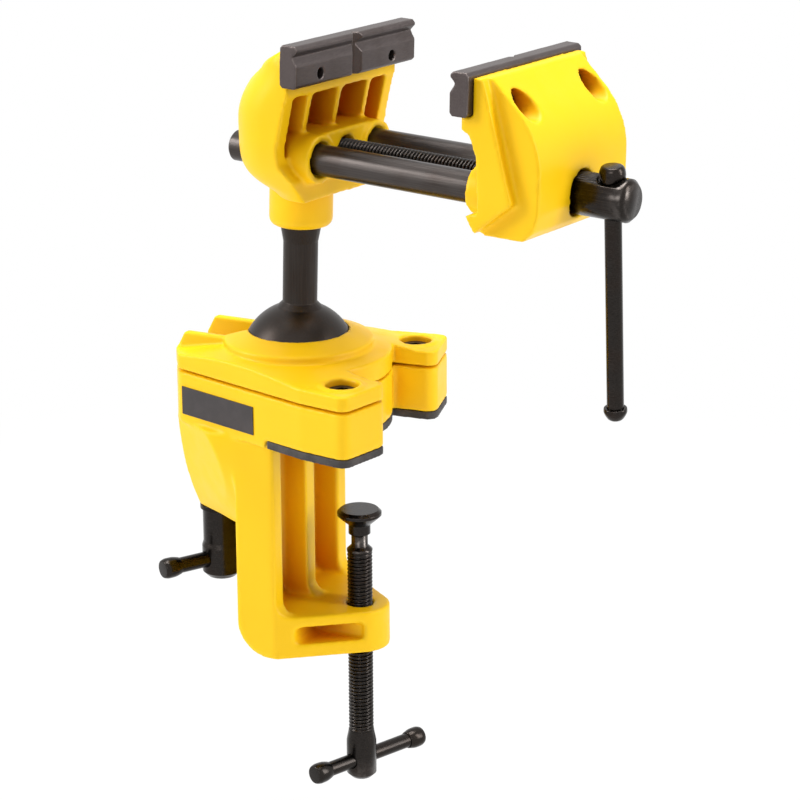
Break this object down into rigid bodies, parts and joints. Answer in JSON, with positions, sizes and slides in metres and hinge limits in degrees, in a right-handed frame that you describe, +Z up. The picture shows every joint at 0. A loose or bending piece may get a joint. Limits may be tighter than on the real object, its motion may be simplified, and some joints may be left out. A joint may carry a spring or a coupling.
{
  "type": "clamp-on bench vise",
  "caption": "Bench vise that clamps to a table edge with a screw from below, on a ball joint that swivels and tilts, with a screw-driven moving jaw on two guide bars.",
  "frame": {"origin": "on the face that rests on the bench top, where the clamp screw's axis meets it", "axes": "+Z up along the clamp screw, +X from the bench edge on to the bench, towards the moving jaw, +Y to the left of that"},
  "size_m": [0.196, 0.094, 0.298],
  "materials": {
    "cast_paint": "satin yellow powder coat on castings",
    "jaw_steel": "dark phosphated steel",
    "stud_steel": "dark phosphated steel",
    "black_steel": "black oxide, polished",
    "fastener_steel": "black oxide",
    "nut_bronze": "machined",
    "pad_rubber": "matt moulded rubber",
    "badge_film": "blank dark film"
  },
  "bodies": {
    "base": {"base_casting": "cast_paint", "bench_pad": "pad_rubber", "clamp_cap": "cast_paint", "cap_screws": "fastener_steel", "ball_seat": "stud_steel", "side_badge": "badge_film"},
    "stud": {"ball_stud": "stud_steel"},
    "head": {"fixed_jaw_body": "cast_paint", "fixed_jaw_plate": "jaw_steel", "fixed_plate_screws": "fastener_steel", "lead_nut": "nut_bronze", "post_set_screw": "fastener_steel"},
    "moving_jaw": {"moving_jaw_body": "cast_paint", "moving_jaw_plate": "jaw_steel", "moving_plate_screws": "fastener_steel", "guide_bar_near": "black_steel", "guide_bar_far": "black_steel", "guide_bar_pins": "fastener_steel", "thrust_washer": "fastener_steel"},
    "jaw_screw": {"main_screw": "black_steel", "retaining_ring": "fastener_steel"},
    "handle": {"handle_bar": "black_steel", "handle_knob_top": "black_steel", "handle_knob_low": "black_steel"},
    "pressure_disc": {"clamp_pad": "black_steel"},
    "bench_screw": {"clamp_screw": "black_steel"},
    "bench_bar": {"clamp_tbar": "black_steel", "clamp_tbar_knobs": "black_steel"},
    "ball_lock": {"lock_barrel": "black_steel", "lock_bolt": "black_steel", "lock_washer": "fastener_steel"},
    "lock_handle": {"lock_tbar": "black_steel", "lock_tbar_knobs": "black_steel"}
  },
  "joints": [
    {"name": "ball_tilt", "type": "hinge", "parent": "base", "child": "stud", "pos_m": [-0.0251, 0, 0.025], "axis": [0, 1, 0], "range_deg": [-91, 30]},
    {"name": "head_spin", "type": "hinge", "parent": "stud", "child": "head", "pos_m": [-0.02383, 0.00078, 0.07738], "axis": [0.0243, 0.0149, 0.9996], "continuous": true},
    {"name": "jaw_slide", "type": "slide", "parent": "head", "child": "moving_jaw", "axis": [0.9888, -0.1474, -0.0218], "range_m": [-0.0645, 0.01]},
    {"name": "main_screw_turn", "type": "hinge", "parent": "moving_jaw", "child": "jaw_screw", "pos_m": [0.10903, -0.01845, 0.10545], "axis": [0.9888, -0.1474, -0.0218], "range_deg": [-15481, 2401]},
    {"name": "handle_slide", "type": "slide", "parent": "jaw_screw", "child": "handle", "axis": [0.007, -0.1006, 0.9949], "range_m": [0, 0.07115]},
    {"name": "clamp_slide", "type": "slide", "parent": "base", "child": "pressure_disc", "axis": [0, 0, 1], "range_m": [-0.026, 0.0322]},
    {"name": "clamp_screw_turn", "type": "hinge", "parent": "pressure_disc", "child": "bench_screw", "pos_m": [0, 0, -0.1375], "axis": [0, 0, 1], "range_deg": [-6241, 7729]},
    {"name": "clamp_bar_slide", "type": "slide", "parent": "bench_screw", "child": "bench_bar", "axis": [0.3907, 0.9205, 0], "range_m": [-0.0175, 0.0107]},
    {"name": "lock_turn", "type": "hinge", "parent": "base", "child": "ball_lock", "pos_m": [-0.0613, 0, -0.062], "axis": [0, 0, 1], "range_deg": [-9, 70]},
    {"name": "lock_bar_slide", "type": "slide", "parent": "ball_lock", "child": "lock_handle", "axis": [0.5045, 0.8634, 0], "range_m": [-0.0105, 0.0105]}
  ],
  "couplings": [
    {"joint": "main_screw_turn", "follows": "jaw_slide", "rad_per_m": 4188.8},
    {"joint": "clamp_screw_turn", "follows": "clamp_slide", "rad_per_m": 4188.8}
  ]
}
